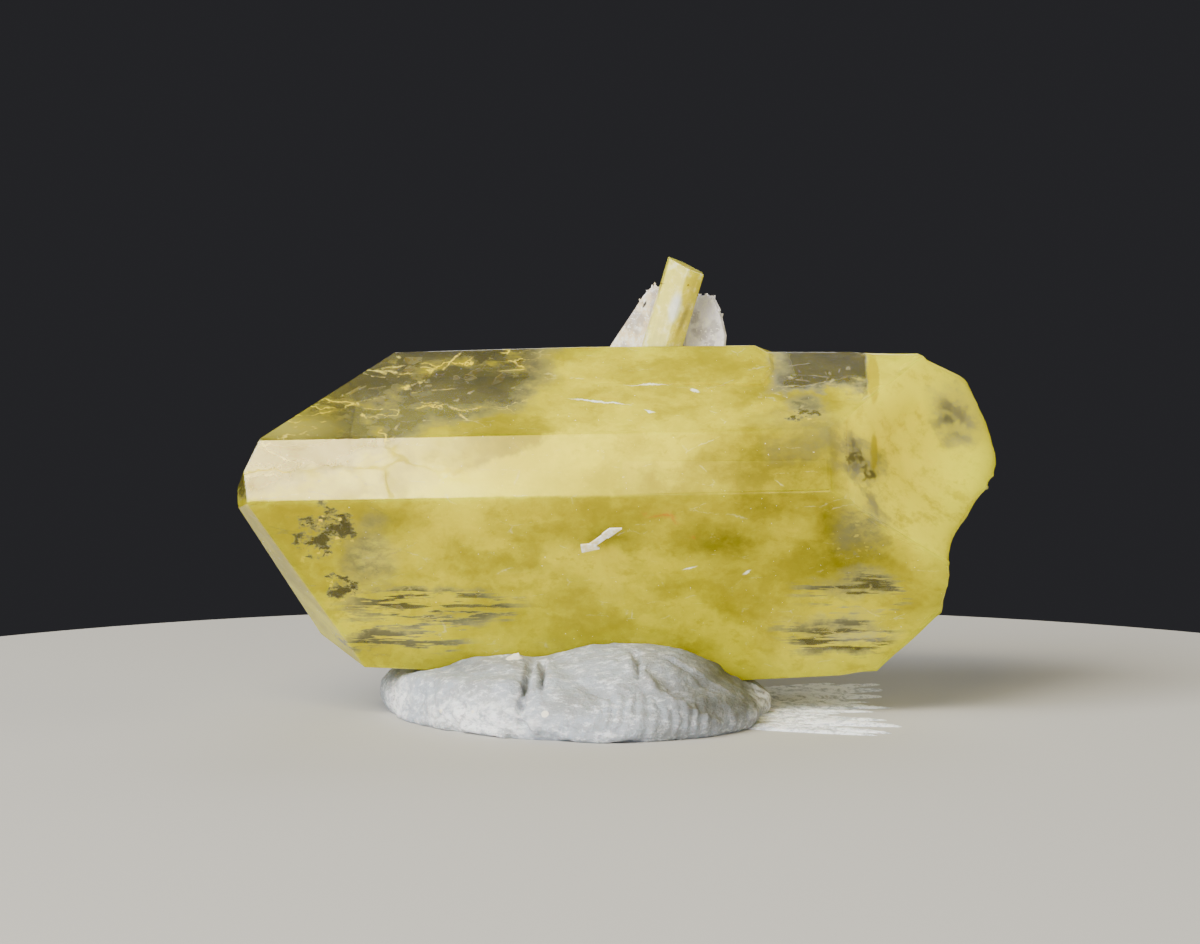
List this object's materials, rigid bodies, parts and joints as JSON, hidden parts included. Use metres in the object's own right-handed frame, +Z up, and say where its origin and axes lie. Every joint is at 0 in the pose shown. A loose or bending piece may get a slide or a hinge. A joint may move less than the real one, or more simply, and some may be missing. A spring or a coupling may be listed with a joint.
{
  "type": "brazilianite crystal cluster",
  "caption": "Long yellow prismatic crystal with a pointed end and a broken end, a small crystal and mica books on top, held on a lump of putty",
  "frame": {"origin": "on the resting surface, on the underside of the putty, under the crystal's top edge and halfway along the crystal", "axes": "+X along the crystal from its point to its broken end, +Y away from the viewer, +Z up"},
  "size_m": [0.0377, 0.0203, 0.0225],
  "materials": {
    "brazilianite": "glassy natural faces, clear at the point, milky in the middle, rough at the broken end",
    "pale_brazilianite": "glassy, pale straw yellow",
    "pale_mica": "pearly cleavage sheets",
    "grey_mica": "pearly cleavage sheets, grey and see-through",
    "putty": "soft matt putty with pressed ridges"
  },
  "bodies": {
    "root": {"brazilianite_crystal": "brazilianite", "small_crystal": "pale_brazilianite", "mica_blade_left": "pale_mica", "mica_blade_right": "grey_mica", "putty": "putty"}
  },
  "joints": []
}
